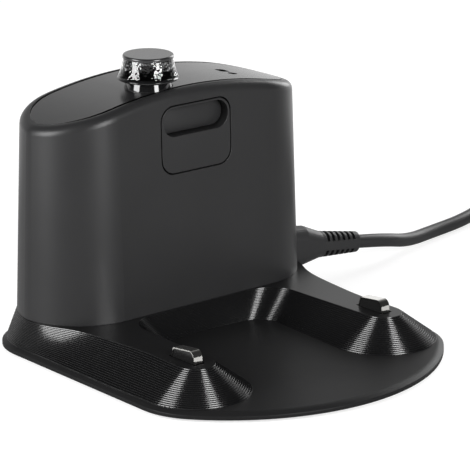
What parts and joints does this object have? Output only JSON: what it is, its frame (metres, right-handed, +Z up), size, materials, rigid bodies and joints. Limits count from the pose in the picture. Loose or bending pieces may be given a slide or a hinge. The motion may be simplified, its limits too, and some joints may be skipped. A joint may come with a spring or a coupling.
{
  "type": "robot vacuum charging dock",
  "caption": "Free-standing charging dock for a robot vacuum: ridged U-shaped deck with sprung contacts, rounded tower with a recessed signal window, raised beacon, and a coiled mains cord",
  "frame": {"origin": "on the floor, under the middle of the base without its cord", "axes": "+X to the right seen from the front, front faces -Y, +Z up"},
  "size_m": [0.3414, 0.158, 0.1031],
  "materials": {
    "tower_plastic": "fine satin texture, charcoal",
    "base_plastic": "satin black, fine ridges",
    "gloss_black": "polished black",
    "panel_plastic": "satin charcoal",
    "smoked_lens": "dark infrared-clear plastic",
    "clear_plastic": "clear moulded light guide",
    "light_pipe": "milky clear plastic",
    "contact_metal": "bright plated spring strip",
    "plunger_plastic": "moulded black",
    "steel": "zinc-plated",
    "ballast_iron": "plain cast plate",
    "circuit_board": "green coated laminate",
    "lamp": "clear epoxy",
    "transformer_core": "dark ferrite with taped winding",
    "capacitor_sleeve": "shrunk sleeve",
    "socket_plastic": "moulded black",
    "terminal_brass": "plated brass",
    "foot_rubber": "soft grey-black rubber",
    "cord_jacket": "soft satin black jacket",
    "tie_plastic": "soft black band"
  },
  "bodies": {
    "dock": {"tower_shell": "tower_plastic", "base_moulding": "base_plastic", "bottom_cover": "base_plastic", "top_plate": "gloss_black", "beacon_base": "gloss_black", "beacon_core": "gloss_black", "beacon_cap": "gloss_black", "front_panel": "panel_plastic", "panel_lens": "smoked_lens", "beacon_ring": "clear_plastic", "status_light": "light_pipe", "status_mark": "light_pipe", "left_contact_spring": "steel", "right_contact_spring": "steel", "cover_screw_1": "steel", "cover_screw_2": "steel", "cover_screw_3": "steel", "cover_screw_4": "steel", "tower_screw_1": "steel", "tower_screw_2": "steel", "tower_screw_3": "steel", "tower_screw_4": "steel", "ballast_plate": "ballast_iron", "main_board": "circuit_board", "emitter_board": "circuit_board", "crown_board": "circuit_board", "emitter_left": "lamp", "emitter_right": "lamp", "beacon_lamp": "lamp", "status_lamp": "lamp", "transformer": "transformer_core", "bulk_capacitor": "capacitor_sleeve", "output_capacitor": "capacitor_sleeve", "power_inlet": "socket_plastic", "inlet_pin_lower": "terminal_brass", "inlet_pin_upper": "terminal_brass", "plug_blade_left": "terminal_brass", "plug_blade_right": "terminal_brass", "rubber_foot_1": "foot_rubber", "rubber_foot_2": "foot_rubber", "rubber_foot_3": "foot_rubber", "rubber_foot_4": "foot_rubber", "cord_connector": "cord_jacket", "cord_lead": "cord_jacket", "cord_coil": "cord_jacket", "cord_tail": "cord_jacket", "mains_plug": "cord_jacket", "coil_tie": "tie_plastic"},
    "left_contact": {"left_contact_plunger": "plunger_plastic", "left_contact_strap": "contact_metal"},
    "right_contact": {"right_contact_plunger": "plunger_plastic", "right_contact_strap": "contact_metal"}
  },
  "joints": [
    {"name": "left_contact_press", "type": "slide", "parent": "dock", "child": "left_contact", "axis": [0, 0, -1], "range_m": [0, 0.0025], "stiffness_N_per_m": 400, "springref_m": -0.002, "deforming": ["left_contact_spring"]},
    {"name": "right_contact_press", "type": "slide", "parent": "dock", "child": "right_contact", "axis": [0, 0, -1], "range_m": [0, 0.0025], "stiffness_N_per_m": 400, "springref_m": -0.002, "deforming": ["right_contact_spring"]}
  ]
}
